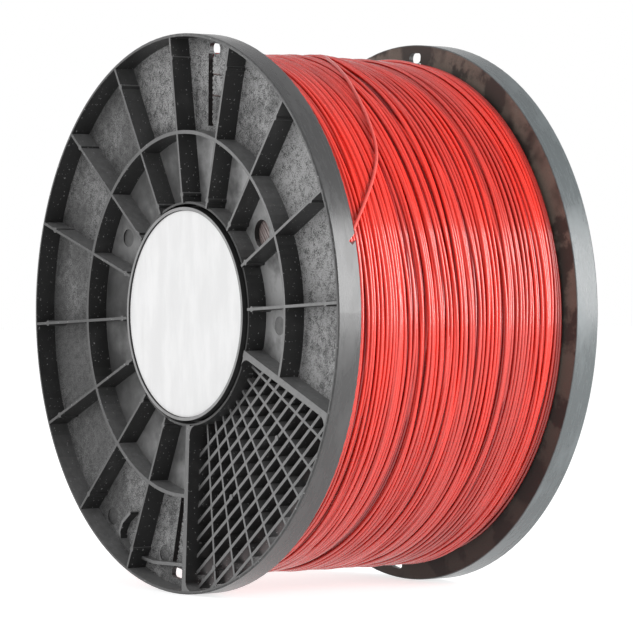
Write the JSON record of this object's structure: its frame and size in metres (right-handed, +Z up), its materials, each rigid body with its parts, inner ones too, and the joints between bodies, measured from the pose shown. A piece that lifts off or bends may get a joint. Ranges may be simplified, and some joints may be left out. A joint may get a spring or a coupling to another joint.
{
  "type": "string reel",
  "caption": "Flanged reel of wound racket string, with ribbed dished flanges, an open grille sector, a labelled hub insert, a spindle bore and a tucked string end.",
  "frame": {"origin": "middle of the reel, on its turning axis, which is the spindle bore's axis", "axes": "+Y along the axis from the labelled near flange to the far flange, +Z up, +X to the right as seen from the near flange"},
  "size_m": [0.2, 0.112, 0.2],
  "materials": {
    "flange_plastic": "moulded, dusty, scuffed at the rim",
    "barrel_plastic": "moulded",
    "insert_plastic": "moulded",
    "paper": "uncoated white paper",
    "steel": "zinc plated",
    "string": "smooth extruded monofilament, red"
  },
  "bodies": {
    "root": {"near_flange": "flange_plastic", "far_flange": "flange_plastic", "winding_barrel": "barrel_plastic", "near_hub_insert": "insert_plastic", "far_hub_insert": "insert_plastic", "near_label": "paper", "tie_bolts": "steel", "bolt_washers": "steel", "nut_washers": "steel", "tie_nuts": "steel", "string_winding": "string", "string_tail": "string"}
  },
  "joints": []
}
